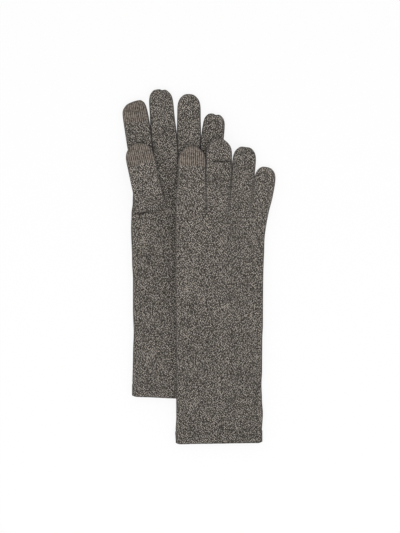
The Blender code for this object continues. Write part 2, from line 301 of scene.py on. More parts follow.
class Workpiece:
    """One mesh on the bench, shaped in edit mode by place and direction."""

    def __init__(self, name: str, low: Vector, high: Vector) -> None:
        """Starts from a block and opens it for shaping.

        Args:
            name: The object's name.
            low: The block's lowest corner.
            high: The block's highest corner.
        """
        bpy.ops.object.select_all(action="DESELECT")
        bpy.ops.mesh.primitive_cube_add(size=1, location=(low + high) / 2)
        self.item = bpy.context.active_object
        self.item.scale = high - low
        bpy.ops.object.transform_apply(location=True, rotation=True, scale=True)
        self.item.name = name
        self.item.data.name = name
        bpy.ops.object.mode_set(mode="EDIT")

    def close(self) -> None:
        """Leaves edit mode."""
        bpy.ops.object.mode_set(mode="OBJECT")

    def cut(self, place: Sequence[float], direction: Sequence[float]) -> None:
        """Cuts an edge loop all round, at a plane."""
        bpy.ops.mesh.select_all(action="SELECT")
        bpy.ops.mesh.bisect(plane_co=place, plane_no=direction)

    def pick_faces(self, wanted: Callable[[Vector, Vector], bool]) -> int:
        """Selects faces.

        Args:
            wanted: Tells from a face's middle and its normal whether it is selected.

        Returns:
            How many were selected.
        """
        bpy.ops.mesh.select_mode(type="FACE")
        bpy.ops.mesh.select_all(action="DESELECT")
        cage = bmesh.from_edit_mesh(self.item.data)
        cage.normal_update()
        chosen = [face for face in cage.faces if wanted(face.calc_center_median(), face.normal)]
        for face in chosen:
            face.select_set(True)
        bmesh.update_edit_mesh(self.item.data)
        return len(chosen)

    def pick_points(self, wanted: Callable[[Vector], bool]) -> int:
        """Selects points.

        Args:
            wanted: Tells from a point's place whether it is selected.

        Returns:
            How many were selected.
        """
        bpy.ops.mesh.select_mode(type="VERT")
        bpy.ops.mesh.select_all(action="DESELECT")
        cage = bmesh.from_edit_mesh(self.item.data)
        chosen = [point for point in cage.verts if wanted(point.co)]
        for point in chosen:
            point.select_set(True)
        cage.select_flush_mode()
        bmesh.update_edit_mesh(self.item.data)
        return len(chosen)

    def pull(self, step: Vector) -> None:
        """Extrudes the selected faces as one."""
        bpy.ops.mesh.extrude_region_move(TRANSFORM_OT_translate={"value": step})

    def move(self, step: Vector) -> None:
        """Moves what is selected."""
        bpy.ops.transform.translate(value=step)

    def resize(self, factors: Sequence[float], centre: Vector) -> None:
        """Scales what is selected about a place."""
        bpy.ops.transform.resize(value=factors, center_override=centre)

    def turn(self, degrees: float, centre: Vector) -> None:
        """Turns what is selected about an upright line, to the left for a positive angle."""
        if abs(degrees) > 1e-6:
            bpy.ops.transform.rotate(value=-math.radians(degrees), orient_axis="Z", center_override=centre)

    def name_regions(self, names: Sequence[str], region: Callable[[Vector], str]) -> None:
        """Gives every face a slot of its own region, so that the mesh can be cut up later.

        Args:
            names: The regions.
            region: Tells from a place just inside a face which region it is in.
        """
        for name in names:
            self.item.data.materials.append(bpy.data.materials.new(f"region {name}"))
        cage = bmesh.from_edit_mesh(self.item.data)
        cage.normal_update()
        for face in cage.faces:
            inside = face.calc_center_median() - face.normal * 1 * MM
            face.material_index = names.index(region(inside))
        bmesh.update_edit_mesh(self.item.data)

    def round_off(self, levels: int) -> None:
        """Leaves edit mode and rounds the cage by subdivision."""
        self.close()
        apply_modifier(self.item, "SUBSURF", levels=levels, render_levels=levels)


def make_active(item: bpy.types.Object) -> None:
    """Selects one object alone."""
    bpy.ops.object.select_all(action="DESELECT")
    item.select_set(True)
    bpy.context.view_layer.objects.active = item


def apply_modifier(item: bpy.types.Object, kind: str, **settings: object) -> None:
    """Adds a modifier and applies it.

    Args:
        item: The object that gets it.
        kind: The modifier's type.
        settings: Its settings.
    """
    make_active(item)
    modifier = item.modifiers.new(kind.title(), kind)
    for setting, value in settings.items():
        setattr(modifier, setting, value)
    bpy.ops.object.modifier_apply(modifier=modifier.name)


def cut_up(item: bpy.types.Object) -> dict[str, bpy.types.Object]:
    """Cuts a mesh into its named regions.

    Args:
        item: The mesh, with one slot for each region.

    Returns:
        The pieces by region.
    """
    make_active(item)
    bpy.ops.object.mode_set(mode="EDIT")
    bpy.ops.mesh.select_all(action="SELECT")
    bpy.ops.mesh.separate(type="MATERIAL")
    bpy.ops.object.mode_set(mode="OBJECT")
    found: dict[str, bpy.types.Object] = {}
    for piece in list(bpy.context.selected_objects):
        slot = piece.data.polygons[0].material_index
        label = piece.data.materials[slot]
        found[label.name.removeprefix("region ").split(".")[0]] = piece
    for piece in found.values():
        piece.data.materials.clear()
    return found


def round_tip(
    work: Workpiece, place: Callable[[float], Vector], length: float, lean: float, half: float, blunt: float
) -> None:
    """Pulls a finger's end out through ever smaller sections and rounds its last face.

    Args:
        work: The cage, with the finger's last section selected.
        place: Gives the middle of the finger at a distance from its base.
        length: The finger's length.
        lean: Its lean in degrees.
        half: Half its width at the last section.
        blunt: How blunt its end is, 0 to 1.
    """
    ahead, across = heading(lean), sideways(lean)
    wide, high = 1.0, 1.0
    for before, ring in zip(TIP_RINGS, TIP_RINGS[1:]):
        share = mix(ring.round_width, ring.blunt_width, blunt)
        work.pull(ahead * (before.back - ring.back))
        work.resize((share / wide, share / wide, ring.height / high), place(length - ring.back))
        wide, high = share, ring.height
    end = place(length - TIP_RINGS[-1].back)
    for least, most, push in ((0.0, 0.3, 2.3 * MM), (0.3, 0.9, 1.5 * MM)):

        def on_column(spot: Vector) -> bool:
            """Tells whether a point is on the end face, this far from its middle."""
            gap = spot - end
            beside = abs(gap.dot(across)) / (half * wide)
            return abs(gap.dot(ahead)) < 0.4 * MM and least <= beside < most

        work.pick_points(on_column)
        work.move(ahead * push)


@dataclass
class ThumbForm:
    """The lines of a thumb: a pouch that stands on a slit across the palm."""

    length: float = 78.6 * MM
    base_width: float = 38.0 * MM
    width: float = 31.7 * MM
    taper: float = 24.0 * MM
    below_knuckles: float = 59.0 * MM
    touch: float = 22.0 * MM
    thickness: float = 7.2 * MM

    def half_width(self, along: float) -> float:
        """Gives half the thumb's flat width at a distance from its base."""
        return mix(self.base_width, self.width, smooth(along / self.taper)) / 2


@dataclass
class GloveForm:
    """The lines of one glove on the table, from its wrist's middle."""

    lay: Lay
    hem: float = 15.0 * MM
    cuff: float = 143.0 * MM
    cuff_width: float = 97.0 * MM
    hand: float = 101.0 * MM
    web: float = 0.3 * MM
    widen: float = 0.6
    fill: float = 1.5 * MM
    overlap: float = 0.03 * MM
    thumb_inset: float = 3.0 * MM
    thumb: ThumbForm = field(default_factory=ThumbForm)

    def __post_init__(self) -> None:
        """Takes the glove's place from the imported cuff, and sets the fingers side by side."""
        low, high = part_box(f"{self.lay.side.value}_cuff")
        self.origin = Vector(((low.x + high.x) / 2, high.y + REST_GAP, 0))
        self.mouth = -self.cuff - self.hem
        self.fingers = self.lay.fingers
        self.knuckle_width = sum(finger.base_width for finger in self.fingers) + 3 * self.web
        self.knuckle = Vector((self.lay.shift, self.hand, 0))
        self.offsets: list[float] = []
        reach = -self.knuckle_width / 2
        for finger in self.fingers:
            self.offsets.append(reach + finger.base_width / 2)
            reach += finger.base_width + self.web

    def flare(self, y: float) -> float:
        """Gives how far the hand has widened from wrist to knuckles, 0 to 1."""
        return max(0.0, y / self.hand) ** 3

    def half_width(self, y: float) -> float:
        """Gives half the flat width of cuff and hand."""
        return mix(self.cuff_width, self.knuckle_width, self.flare(y)) / 2

    def finger_number(self, region: str) -> int | None:
        """Tells which finger a region belongs to, or None on hand and thumb."""
        for number, finger in enumerate(self.fingers):
            if region.startswith(finger.name):
                return number
        return None

    def finger_place(self, number: int, along: float) -> Vector:
        """Gives the middle of a finger at a distance from its base."""
        base = self.knuckle + sideways(self.lay.tilt) * self.offsets[number]
        return base + heading(self.fingers[number].lean) * along

    def finger_turn(self, number: int, along: float) -> float:
        """Gives how far a finger's section has turned, in degrees."""
        finger = self.fingers[number]
        return mix(self.lay.tilt, finger.lean, smooth(along / finger.fold))

    def finger_half_width(self, number: int, along: float) -> float:
        """Gives half a finger's flat width at a distance from its base."""
        finger = self.fingers[number]
        return mix(finger.base_width, finger.width, smooth(along / (self.widen * finger.length))) / 2

    def side_gap(self, number: int, side: int, along: float) -> float:
        """Measures the room between a finger and its neighbour.

        Args:
            number: Which finger.
            side: -1 for its left side, 1 for its right side.
            along: The distance from its base.

        Returns:
            The gap, which is endless where there is no neighbour.
        """
        other = number + side
        if not 0 <= other < len(self.fingers):
            return math.inf
        finger, beside = self.fingers[number], self.fingers[other]
        reach = side * self.finger_half_width(number, along)
        edge = self.finger_place(number, along) + sideways(finger.lean) * reach - self.finger_place(other, 0)
        level = edge.dot(heading(beside.lean))
        past_end = 6 * MM * smooth((level - beside.length + 18 * MM) / (10 * MM))
        return -side * edge.dot(sideways(beside.lean)) - self.finger_half_width(other, level) + past_end

    def touching(self, number: int, side: int, along: float) -> float:
        """Gives how closely a finger's side lies against its neighbour, 0 to 1."""
        return 1 - smooth((self.side_gap(number, side, along) - self.fill) / self.fill)

    def finger_reach(self, number: int, side: int, along: float) -> float:
        """Gives how far a finger reaches to one side of its middle line."""
        half = self.finger_half_width(number, along)
        close = self.touching(number, side, along)
        return half + (close * (self.side_gap(number, side, along) / 2 + self.overlap) if close else 0.0)

    def thumb_place(self, along: float) -> Vector:
        """Gives the middle of the thumb at a distance from its base."""
        y = self.hand - self.thumb.below_knuckles
        left = self.lay.shift * self.flare(y) - self.half_width(y)
        base = Vector((left + self.thumb_inset + self.thumb.base_width / 2, y, 0))
        return base + heading(self.lay.thumb_lean) * along

    def finger_of(self, place: Vector) -> int | None:
        """Tells which finger a place beyond the knuckles is in, or None on the hand."""
        if (place - self.knuckle).dot(heading(self.lay.tilt)) < 0.2 * MM:
            return None
        shares = []
        for number in range(len(self.fingers)):
            along, across = self.on_finger(number, place)
            shares.append(abs(across) / self.finger_half_width(number, along))
        return shares.index(min(shares))

    def on_finger(self, number: int, place: Vector) -> tuple[float, float]:
        """Gives how far along and across a finger a place is."""
        gap = place - self.finger_place(number, 0)
        lean = self.fingers[number].lean
        return gap.dot(heading(lean)), gap.dot(sideways(lean))


@dataclass
class Pile:
    """What holds the right glove up: the left glove, and the right glove's own tucked thumb."""

    lower: GloveForm
    upper: GloveForm
    hold: float = 6.0 * MM
    run: float = 20.0 * MM

    def held_up(self, past: float) -> float:
        """Gives how much of its height the fabric keeps this far past an edge."""
        return 1 - smooth((past - self.hold) / self.run)

    def over_glove(self, place: Vector) -> float:
        """Gives the height that the left glove adds at a place on the table."""
        spot = place - self.lower.origin
        little = self.lower.fingers[-1]
        on_hand = min(spot.y, self.lower.hand)
        reach = self.lower.half_width(on_hand) + self.lower.lay.shift * self.lower.flare(on_hand)
        sway = max(0.0, heading(little.lean).x) * little.length
        sway += (little.width - little.base_width) / 2
        reach += sway * smooth((spot.y - self.lower.hand) / little.fold)
        height = THICKNESS + REST_GAP
        return height * self.held_up(spot.x - reach) * self.held_up(self.lower.mouth - spot.y)

    def over_thumb(self, place: Vector) -> float:
        """Gives the height that the right glove's own thumb adds under its palm."""
        thumb = self.upper.thumb
        start = self.upper.thumb_place(0) + self.upper.origin
        line = heading(self.upper.lay.thumb_lean)
        flat = Vector((place.x, place.y, 0))
        along = min(thumb.length - thumb.width / 2, max(0.0, (flat - start).dot(line)))
        beside = (flat - start - line * along).length - thumb.half_width(along)
        return (thumb.thickness + REST_GAP) * self.held_up(beside)

    def height(self, place: Vector) -> float:
        """Gives the height of the whole pile at a place on the table."""
        return self.over_glove(place) + self.over_thumb(place)


class Socket:
    """A socket in a material, with arithmetic that adds Math nodes."""

    def __init__(self, graph: Graph, socket: bpy.types.NodeSocket) -> None:
        """Keeps the socket and the material it is in."""
        self.graph = graph
        self.socket = socket

    def math(self, operation: str, *others: Socket | float) -> Socket:
        """Adds a Math node on this socket.

        Args:
            operation: The node's operation.
            others: Its other inputs.

        Returns:
            The node's output.
        """
        node = self.graph.node("ShaderNodeMath", {"operation": operation}, dict(enumerate((self, *others))))
        return Socket(self.graph, node.outputs[0])

    def __add__(self, other: Socket | float) -> Socket:
        """Adds."""
        return self.math("ADD", other)

    __radd__ = __add__

    def __sub__(self, other: Socket | float) -> Socket:
        """Subtracts."""
        return self.math("SUBTRACT", other)

    def __rsub__(self, other: float) -> Socket:
        """Subtracts this from a number."""
        return self.math("MULTIPLY", -1.0).math("ADD", other)

    def __mul__(self, other: Socket | float) -> Socket:
        """Multiplies."""
        return self.math("MULTIPLY", other)

    __rmul__ = __mul__

    def __truediv__(self, other: Socket | float) -> Socket:
        """Divides."""
        return self.math("DIVIDE", other)

    def __pow__(self, other: float) -> Socket:
        """Raises to a power."""
        return self.math("POWER", other)

    def __abs__(self) -> Socket:
        """Takes the size without the sign."""
        return self.math("ABSOLUTE")

    def floor(self) -> Socket:
        """Takes the whole part."""
        return self.math("FLOOR")

    def fraction(self) -> Socket:
        """Takes the part past the whole."""
        return self.math("FRACT")

    def sine(self) -> Socket:
        """Takes the sine."""
        return self.math("SINE")

    def at_least(self, other: float) -> Socket:
        """Keeps it from falling lower."""
        return self.math("MAXIMUM", other)

    def at_most(self, other: float) -> Socket:
        """Keeps it from rising higher."""
        return self.math("MINIMUM", other)


class Graph:
    """A material's nodes, with a Principled shader to feed."""

    def __init__(self, name: str) -> None:
        """Starts an empty material."""
        self.material = bpy.data.materials.new(name)
        self.material.use_nodes = True
        self.tree = self.material.node_tree
        self.tree.nodes.clear()
        self.output = self.node("ShaderNodeOutputMaterial", {}, {})

    def node(
        self, kind: str, settings: dict[str, object], sockets: dict[str | int, object]
    ) -> bpy.types.Node:
        """Adds a node.

        Args:
            kind: The node's type.
            settings: Its settings, which are set first; "stops" are a ramp's (place, colour) pairs.
            sockets: Values or links for its sockets, by name or number.

        Returns:
            The node.
        """
        made = self.tree.nodes.new(kind)
        for setting, value in settings.items():
            if setting == "stops":
                elements = made.color_ramp.elements
                while len(elements) < len(value):
                    elements.new(0.5)
                for element, (place, colour) in zip(elements, value):
                    element.position = place
                    element.color = (*colour, 1)
            else:
                setattr(made, setting, value)
        for key, value in sockets.items():
            target = made.inputs[key]
            if isinstance(value, Socket):
                self.tree.links.new(value.socket, target)
            elif isinstance(value, bpy.types.NodeSocket):
                self.tree.links.new(value, target)
            else:
                target.default_value = value
        return made

    def out(self, node: bpy.types.Node, name: str | int = 0) -> Socket:
        """Wraps one of a node's outputs."""
        return Socket(self, node.outputs[name])

    def combine(self, x: Socket, y: Socket, z: Socket | float) -> Socket:
        """Makes a vector of three numbers."""
        return self.out(self.node("ShaderNodeCombineXYZ", {}, {"X": x, "Y": y, "Z": z}))

    def white(self, vector: Socket) -> Socket:
        """Gives a number from 0 to 1 for each place, with no likeness between neighbours."""
        node = self.node("ShaderNodeTexWhiteNoise", {"noise_dimensions": "3D"}, {"Vector": vector})
        return self.out(node, "Value")

    def cloud(self, vector: Socket, scale: float, detail: float, roughness: float = 0.5) -> Socket:
        """Gives soft noise around 0.5."""
        sockets = {"Vector": vector, "Scale": scale, "Detail": detail, "Roughness": roughness}
        return self.out(self.node("ShaderNodeTexNoise", {"noise_dimensions": "3D"}, sockets))

    def ramp(self, factor: Socket, stops: Sequence[tuple[float, tuple[float, float, float]]]) -> Socket:
        """Turns a number into a colour."""
        return self.out(self.node("ShaderNodeValToRGB", {"stops": stops}, {0: factor}), "Color")

    def tint(self, colour: Socket, factor: Socket) -> Socket:
        """Multiplies a colour by a number."""
        node = self.node("ShaderNodeVectorMath", {"operation": "SCALE"}, {0: colour, "Scale": factor})
        return self.out(node, "Vector")

    def blend(self, factor: Socket, first: Socket, second: Socket) -> Socket:
        """Mixes two colours."""
        node = self.node("ShaderNodeMix", {"data_type": "RGBA"}, {0: factor, 6: first, 7: second})
        return self.out(node, 2)


@dataclass(frozen=True)
class MarlKnit:
    """Plain jersey knit in a yarn of mixed dark and light fibres."""

    name: str
    dark: tuple[float, float, float] = (0.0168, 0.0148, 0.0125)
    middle: tuple[float, float, float] = (0.042, 0.037, 0.0315)
    light: tuple[float, float, float] = (0.165, 0.148, 0.130)
    bright: tuple[float, float, float] = (0.492, 0.444, 0.392)
    wale: float = 1.7 * MM
    course: float = 1.0 * MM
    slope: float = 1.1
    spread: float = 1.2
    contrast: float = 0.22
    level: float = 0.40
    rib: float = 0.0
    bump: float = 0.5
    sheen: float = 0.12

    def make(self) -> bpy.types.Material:
        """Builds the material.

        Returns:
            The material, which reads the knit attribute: across, along and painted shade.
        """
        graph = Graph(self.name)
        knit = graph.node("ShaderNodeAttribute", {"attribute_name": KNIT}, {})
        parts = graph.node("ShaderNodeSeparateXYZ", {}, {0: graph.out(knit, "Vector")})
        across, along, shade = (graph.out(parts, axis) for axis in "XYZ")

        wale = across * (1 / self.wale)
        leg = abs(wale.fraction() - 0.5)
        course = along * (1 / self.course) - leg * self.slope
        row = course.fraction() - 0.5
        half, level = (wale * 2).floor(), course.floor()
        stitch = graph.white(graph.combine(half, level, 0.0)) - 0.5
        for column, step in ((1.0, 0.0), (-1.0, 0.0), (0.0, 1.0), (0.0, -1.0)):
            beside = graph.white(graph.combine(half + column, level + step, 0.0))
            stitch = stitch - (beside - 0.5) * self.contrast

        over_leg = abs(leg - 0.25) * 4
        height = (1 - over_leg * over_leg).at_least(0.0) * (1 - row * row * 3.4)
        flat = graph.combine(across * 1000, along * 1000, 0.0)
        fibre = graph.cloud(flat, 2.6, 3.0, 0.7)
        patch = graph.cloud(flat, 0.55, 2.0)
        drift = graph.cloud(flat, 0.045, 2.0)

        tone = stitch * self.spread + (fibre - 0.5) * 0.4 + (patch - 0.5) * 0.2 + (drift - 0.5) * 0.14 + self.level
        # Raised stitch legs are painted lighter and the hollows between them darker: painted shade.
        tone = tone + (height - 0.55) * 0.15
        if self.rib:
            wave = (wale * (2 * math.pi)).sine()
            # The ribs are painted lighter on their ridges and darker in their grooves: painted shade.
            tone = tone + wave * self.rib
            height = height * 0.5 + wave * 0.6
        stops = ((0.0, self.dark), (0.35, self.middle), (0.7, self.light), (1.0, self.bright))
        # The knit attribute's painted shade darkens the colour; below 0 it is painted light.
        colour = graph.tint(graph.ramp(tone, stops), 1 - shade.at_most(1.0) * 0.72)

        relief = height * 0.8 + fibre * 0.35
        bump = graph.node(
            "ShaderNodeBump", {}, {"Strength": self.bump, "Distance": 0.45 * MM, "Height": relief}
        )
        shader = graph.node(
            "ShaderNodeBsdfPrincipled",
            {},
            {
                "Base Color": colour,
                "Roughness": 0.93,
                "Normal": graph.out(bump),
                "Specular IOR Level": 0.2,
                "Sheen Weight": self.sheen,
                "Sheen Roughness": 0.5,
                "Sheen Tint": (0.9, 0.87, 0.83, 1),
            },
        )
        graph.tree.links.new(shader.outputs[0], graph.output.inputs["Surface"])
        return graph.material


FINISHES = {
    Yarn.MARL: MarlKnit(Yarn.MARL.value),
    Yarn.HEM: MarlKnit(
        Yarn.HEM.value, middle=(0.041, 0.036, 0.031), light=(0.151, 0.136, 0.120), bright=(0.45, 0.407, 0.36)
    ),
    Yarn.TOUCH: MarlKnit(
        Yarn.TOUCH.value,
        dark=(0.024, 0.019, 0.015),
        middle=(0.087, 0.073, 0.061),
        light=(0.177, 0.152, 0.131),
        bright=(0.272, 0.236, 0.205),
        wale=2.2 * MM,
        course=1.2 * MM,
        spread=0.6,
        contrast=0.0,
        level=0.5,
        rib=0.30,
    ),
}


@dataclass
class HandShell:
    """Hem, cuff, hand and four fingers of one glove, as one knitted tube."""

    form: GloveForm
    web_width: float = 0.3 * MM
    row_spacing: float = 16.0 * MM
    finger_spacing: float = 9.0 * MM
    levels: int = 3

    def regions(self) -> list[str]:
        """Lists the pieces that the tube is cut into."""
        names = ["hem", "cuff", "hand"]
        for finger in self.form.fingers:
            names += [f"{finger.name}_lower", f"{finger.name}_upper"]
            if finger.touch:
                names.append(f"{finger.name}_touch_tip")
        return names

    def region(self, place: Vector) -> str:
        """Tells which piece a place is in."""
        number = self.form.finger_of(place)
        if number is None:
            if place.y < -self.form.cuff:
                return "hem"
            return "cuff" if place.y < 0 else "hand"
        finger = self.form.fingers[number]
        along, _ = self.form.on_finger(number, place)
        if along < finger.fold:
            return f"{finger.name}_lower"
        if finger.touch and along > finger.length - finger.touch:
            return f"{finger.name}_touch_tip"
        return f"{finger.name}_upper"

    def rows(self) -> list[float]:
        """Lists where the tube is cut across, from its mouth to its knuckles."""
        form = self.form
        places = [form.mouth + 1.6 * MM, -form.cuff - 2.4 * MM, -form.cuff, -form.cuff + 2.4 * MM]
        count = round(form.cuff / self.row_spacing)
        places += [-form.cuff * (1 - step / count) for step in range(1, count + 1)]
        places += [share * form.hand for share in (0.13, 0.26, 0.39, 0.51, 0.62, 0.72, 0.81, 0.89, 0.955)]
        return places

    def build(self, name: str) -> bpy.types.Object:
        """Models the tube lying flat.

        Args:
            name: The mesh's name.

        Returns:
            The rounded tube, with one slot for each region.
        """
        form = self.form
        wide = form.knuckle_width / 2
        work = Workpiece(name, Vector((-wide, form.mouth, 0)), Vector((wide, form.hand, THICKNESS)))
        for number, finger in enumerate(form.fingers):
            for place in (-1, 0, 1):
                work.cut((form.offsets[number] + place * (finger.base_width / 2 - EDGE), 0, 0), (1, 0, 0))
            if number:
                web = form.offsets[number] - finger.base_width / 2 - form.web / 2
                for side in (-1, 1):
                    work.cut((web + side * self.web_width / 2, 0, 0), (1, 0, 0))
        rows = self.rows()
        for y in rows:
            work.cut((0, y, 0), (0, 1, 0))
        for y in [form.mouth, *rows, form.hand]:
            self.shape_row(work, y)
        for number in range(len(form.fingers)):
            self.grow_finger(work, number)
        work.name_regions(self.regions(), self.region)
        work.pick_faces(lambda place, normal: normal.y < -0.9 and place.y < form.mouth + 0.1 * MM)
        bpy.ops.mesh.delete(type="FACE")
        work.round_off(self.levels)
        return work.item

    def shape_row(self, work: Workpiece, y: float) -> None:
        """Gives one row its width, shift and turn."""
        form = self.form
        work.pick_points(lambda place: abs(place.y - y) < 0.1 * MM)
        middle = Vector((0, y, THICKNESS / 2))
        factor = (form.half_width(y) + EDGE_SPARE) / (form.knuckle_width / 2)
        work.resize((factor, 1, 1), middle)
        if y > 0:
            shift = Vector((form.lay.shift * form.flare(y), 0, 0))
            work.move(shift)
            work.turn(form.lay.tilt * form.flare(y), middle + shift)
        if y == form.mouth:
            work.resize((1, 1, 0.86), middle)

    def stations(self, number: int) -> list[float]:
        """Lists where a finger's sections are, from its base to the start of its tip."""
        finger = self.form.fingers[number]
        marks = [0.0, finger.fold, finger.length - TIP_RINGS[0].back]
        if finger.touch:
            marks.insert(2, finger.length - finger.touch)
        places: list[float] = []
        for start, stop in zip(marks, marks[1:]):
            count = max(1, round((stop - start) / self.finger_spacing))
            places += [mix(start, stop, step / count) for step in range(1, count + 1)]
        places.insert(0, places[0] / 2)
        return places

    def grow_finger(self, work: Workpiece, number: int) -> None:
        """Pulls one finger out of the knuckle row, as wide as its neighbours leave room for.

        Args:
            work: The cage.
            number: Which finger.
        """
        form = self.form
        finger = form.fingers[number]
        base = form.finger_place(number, 0)
        ahead, across = heading(form.lay.tilt), sideways(form.lay.tilt)

        def on_base(place: Vector, normal: Vector) -> bool:
            """Tells whether a face is part of this finger's base."""
            gap = place - base
            beside = abs(gap.dot(across)) < finger.base_width / 2 - self.web_width / 2
            return normal.dot(ahead) > 0.9 and beside and abs(gap.dot(ahead)) < 1 * MM

        found = work.pick_faces(on_base)
        LOG.debug("%s %s starts from %d faces", form.lay.side.value, finger.name, found)
        last = len(form.fingers) - 1
        left = finger.base_width / 2 - (self.web_width / 2 if number else 0.0)
        right = finger.base_width / 2 - (self.web_width / 2 if number < last else 0.0)
        lift = Vector((0, 0, THICKNESS / 2))
        middle, turn = base + across * (right - left) / 2, form.lay.tilt
        half = (left + right) / 2
        for along in self.stations(number):
            left, right = (form.finger_reach(number, side, along) + EDGE_SPARE for side in (-1, 1))
            new_turn = form.finger_turn(number, along)
            new_middle = form.finger_place(number, along) + sideways(finger.lean) * (right - left) / 2
            work.pull(new_middle - middle)
            work.turn(new_turn - turn, new_middle + lift)
            wanted = (left + right) / 2
            work.resize((wanted / half, wanted / half, 1), new_middle + lift)
            middle, turn, half = new_middle, new_turn, wanted
        start = finger.length - TIP_RINGS[0].back
        round_tip(
            work,
            lambda along: middle + heading(finger.lean) * (along - start) + lift,
            finger.length,
            finger.lean,
            half,
            finger.tip.blunt,
        )

    def knit_place(self, place: Vector, region: str) -> tuple[float, float]:
        """Gives a place's position in the knitting.

        Args:
            place: A place on the flat tube.
            region: The region it is in.

        Returns:
            The distances across and along the fabric, round its edges too.
        """
        form = self.form
        drop = min(place.z, THICKNESS - place.z)
        number = form.finger_number(region)
        if number is None:
            turn = form.lay.tilt * form.flare(place.y)
            gap = place - Vector((form.lay.shift * form.flare(place.y), place.y, 0))
            across = gap.dot(sideways(turn))
            half = form.half_width(place.y)
            return across * (1 + drop / max(abs(across), 0.6 * half)), place.y
        finger = form.fingers[number]
        along, across = form.on_finger(number, place)
        half = finger.width / 2
        skew = across * math.sin(math.radians(finger.lean - form.finger_turn(number, along)))
        over_end = drop * max(0.0, 1 - abs(across) / half) * smooth((along - finger.length + half) / half)
        wide = across * (1 + drop / max(abs(across), 0.6 * half))
        return form.offsets[number] + wide, form.hand + along + skew + over_end


@dataclass
class ThumbShell:
    """One thumb, modelled flat along +Y and then laid in its place."""

    form: GloveForm
    levels: int = 3

    def build(self, name: str) -> bpy.types.Object:
        """Models the thumb, from its base to its round tip.

        Args:
            name: The mesh's name.

        Returns:
            The rounded thumb, with one slot for each region.
        """
        thumb = self.form.thumb
        touch = thumb.length - thumb.touch
        half = thumb.half_width(0) + EDGE_SPARE
        lift = Vector((0, 0, REST_GAP + thumb.thickness / 2))
        work = Workpiece(name, Vector((-half, -3 * MM, REST_GAP)), Vector((half, 0, REST_GAP + thumb.thickness)))
        for place in (-1, 0, 1):
            work.cut((place * (half - EDGE), 0, 0), (1, 0, 0))
        work.pick_faces(lambda place, normal: normal.y > 0.9)
        before = 0.0
        for along in (5 * MM, 12 * MM, 20 * MM, 30 * MM, 43 * MM, touch, thumb.length - TIP_RINGS[0].back):
            work.pull(Vector((0, along - before, 0)))
            wanted = thumb.half_width(along) + EDGE_SPARE
            work.resize((wanted / half, 1, 1), Vector((0, along, 0)) + lift)
            half, before = wanted, along
        round_tip(work, lambda along: Vector((0, along, 0)) + lift, thumb.length, 0.0, half, -0.1)
        work.name_regions(
            ["thumb", "thumb_touch_tip"],
            lambda place: "thumb_touch_tip" if place.y > touch else "thumb",
        )
        work.round_off(self.levels)
        return work.item

    def foot(self, place: Vector) -> float:
        """Gives how far past the line where it leaves the palm a place on the thumb is."""
        return place.y - 2.0 * MM + 0.08 * place.x

    def rise(self, place: Vector) -> float:
        """Gives how far the thumb has risen from the palm: at once on its left, gently on its right."""
        share = smooth((place.x + 12 * MM) / (24 * MM))
        return smooth(self.foot(place) / mix(5 * MM, 24 * MM, share))

    def knit_place(self, place: Vector) -> tuple[float, float]:
        """Gives a place's position in the knitting, across and along."""
        thumb = self.form.thumb
        drop = max(0.0, min(place.z, thumb.thickness - place.z))
        half = thumb.width / 2
        near_tip = smooth((place.y - thumb.length + half) / half)
        round_tip = drop * max(0.0, 1 - abs(place.x) / half) * near_tip
        return place.x * (1 + drop / max(abs(place.x), 0.6 * half)), place.y + round_tip


